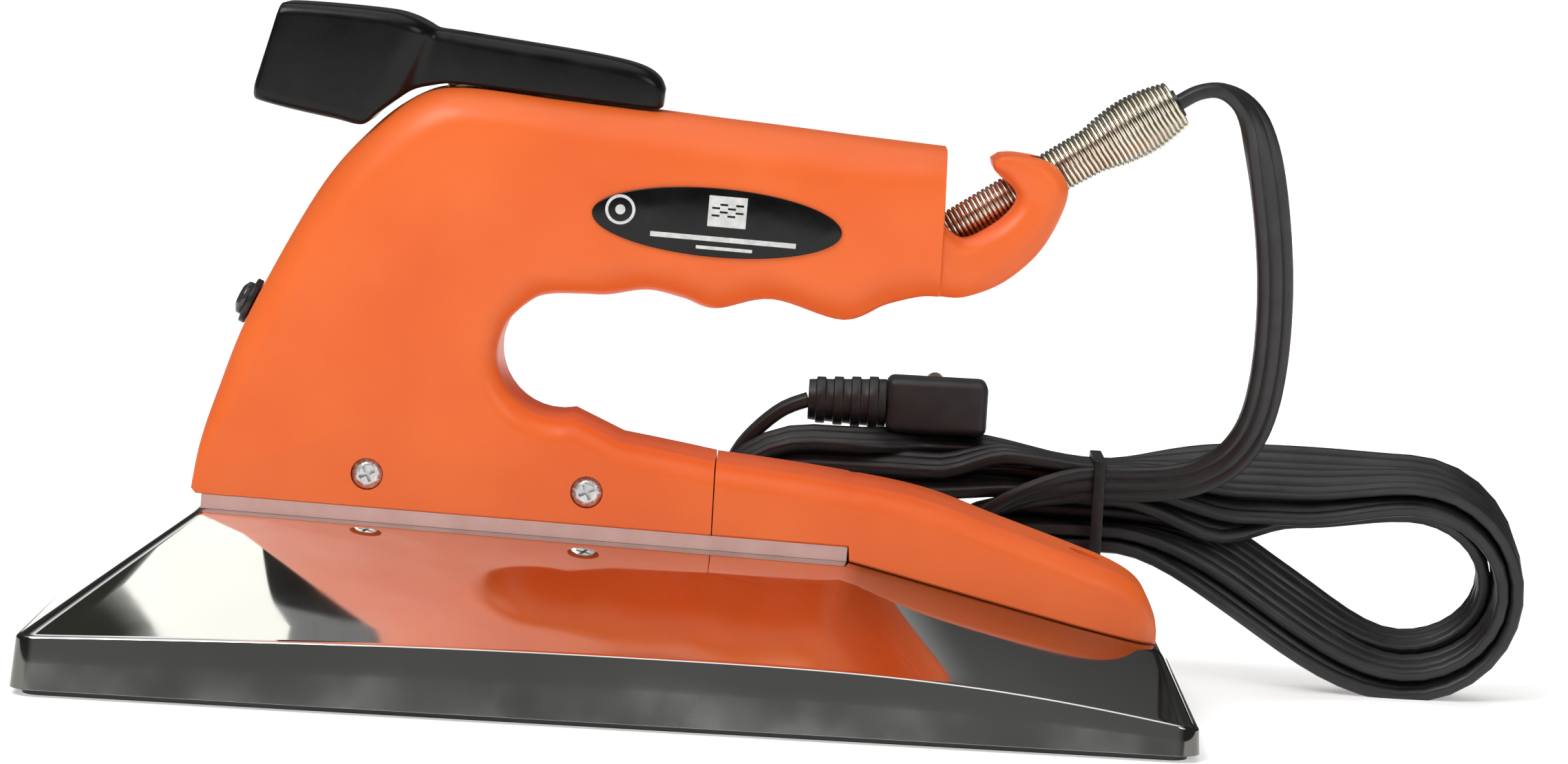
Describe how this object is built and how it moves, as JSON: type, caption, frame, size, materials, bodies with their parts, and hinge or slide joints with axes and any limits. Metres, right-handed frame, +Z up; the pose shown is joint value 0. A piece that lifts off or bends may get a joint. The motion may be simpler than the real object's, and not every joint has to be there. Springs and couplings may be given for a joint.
{
  "type": "carpet seaming iron",
  "caption": "Carpet seaming iron: chromed hood over a flat heated sole, orange C handle with rear hook, control lever, spring strain relief and a flat mains cord tied in a hank",
  "frame": {"origin": "centre of the sole's face, on the surface that the iron stands on", "axes": "+X to the rear, where the cord leaves; +Y to the iron's far side; +Z up, away from the sole"},
  "size_m": [0.37, 0.1617, 0.1636],
  "materials": {
    "cast_sole": "cast, machined face",
    "chrome_hood": "mirror chrome on pressed steel",
    "heater_sheath": "heat-darkened sheath",
    "plated_steel": "zinc plated",
    "ceramic_part": "unglazed",
    "fibre_board": "pressed mica board",
    "silicone_gasket": "pinkish grey silicone",
    "orange_nylon": "satin moulded nylon",
    "printed_badge": "printed film",
    "black_moulding": "moulded",
    "smoked_lens": "smoked clear",
    "neon_bulb": "glass",
    "contact_brass": "plain",
    "sintered_bronze": "sintered",
    "black_lever": "satin phenolic",
    "nickel_spring": "nickel plated wire",
    "pvc_cord": "satin PVC",
    "block_plastic": "moulded",
    "black_rubber": "matt",
    "brown_wire": "silicone sleeve",
    "blue_wire": "silicone sleeve",
    "red_wire": "silicone sleeve",
    "green_wire": "silicone sleeve",
    "plug_pvc": "moulded PVC"
  },
  "bodies": {
    "iron": {"sole_plate": "cast_sole", "heating_element": "heater_sheath", "clamp_bars": "plated_steel", "clamp_screws": "plated_steel", "element_terminals": "ceramic_part", "insulation_board": "fibre_board", "hood": "chrome_hood", "hood_screws": "plated_steel", "deck_gasket": "silicone_gasket", "mounting_bracket": "plated_steel", "handle_near": "orange_nylon", "handle_far": "orange_nylon", "foot_screws": "plated_steel", "grip_screw": "plated_steel", "badge": "printed_badge", "tail_cover": "orange_nylon", "tail_screw": "plated_steel", "pilot_bezel": "black_moulding", "pilot_lens": "smoked_lens", "pilot_bulb": "neon_bulb", "thermostat_base": "ceramic_part", "thermostat_blades": "contact_brass", "thermostat_bridge": "plated_steel", "thermostat_screws": "plated_steel", "shaft_bush": "sintered_bronze", "spring_collar": "black_moulding", "relief_spring": "nickel_spring", "cord_core": "pvc_cord", "inner_cord": "pvc_cord", "cord_clamp": "black_moulding", "clamp_bolts": "plated_steel", "terminal_block": "block_plastic", "terminal_screws": "contact_brass", "deck_grommet": "black_rubber", "wire_live": "brown_wire", "wire_neutral": "blue_wire", "wire_link": "red_wire", "wire_earth": "green_wire", "earth_screw": "contact_brass", "cord_run": "pvc_cord", "cord_hank": "pvc_cord", "cord_tail": "pvc_cord", "cord_tie": "black_rubber", "plug_relief": "plug_pvc", "plug_body": "plug_pvc", "plug_blades": "contact_brass"},
    "lever": {"control_shaft": "plated_steel", "control_lever": "black_lever", "lever_screw": "plated_steel"}
  },
  "joints": [
    {"name": "lever_turn", "type": "hinge", "parent": "iron", "child": "lever", "pos_m": [-0.0434, 0, 0.1457], "axis": [0.0715, 0, 0.9974], "range_deg": [-25, 25]}
  ]
}
